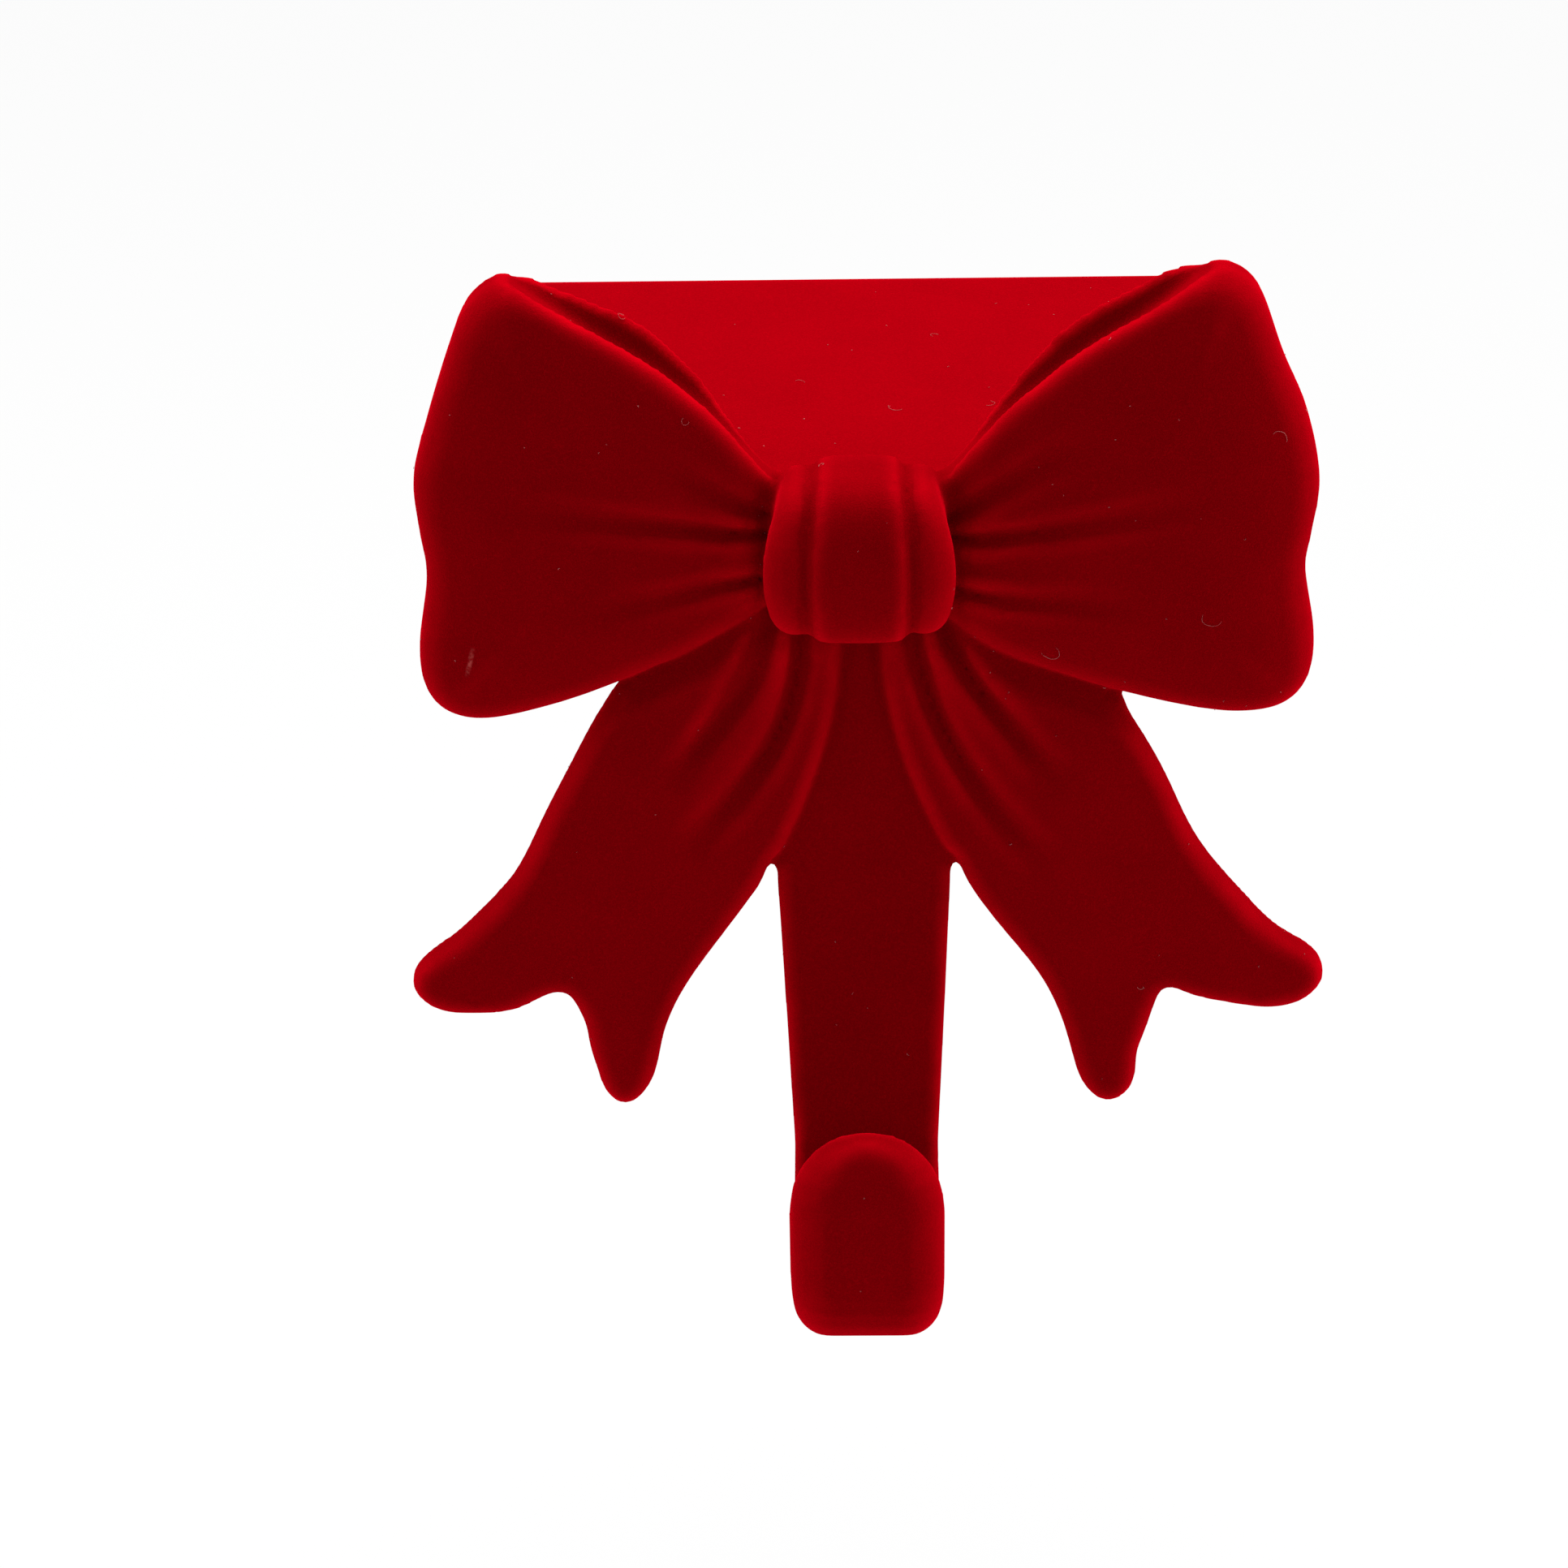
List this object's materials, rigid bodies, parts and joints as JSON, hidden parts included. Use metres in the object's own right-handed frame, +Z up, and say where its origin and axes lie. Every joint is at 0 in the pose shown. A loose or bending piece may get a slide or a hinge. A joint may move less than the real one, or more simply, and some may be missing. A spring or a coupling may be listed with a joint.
{
  "type": "mantel stocking holder",
  "caption": "Bow-shaped mantel hook: a base plate lies on the mantel, a strap hangs in front of it and ends in a J hook, with a tied ribbon bow in front.",
  "frame": {"origin": "on the mantel's top surface, in line with the mantel's front face, on the bow's centre line", "axes": "+X to the right of someone who faces the bow, +Y into the mantel, +Z up"},
  "size_m": [0.1842, 0.1665, 0.2095],
  "materials": {
    "red_flock": "short matte red flock over cast aluminium",
    "pad_rubber": "thin non-slip pad"
  },
  "bodies": {
    "root": {"holder_casting": "red_flock", "grip_pad": "pad_rubber"}
  },
  "joints": []
}
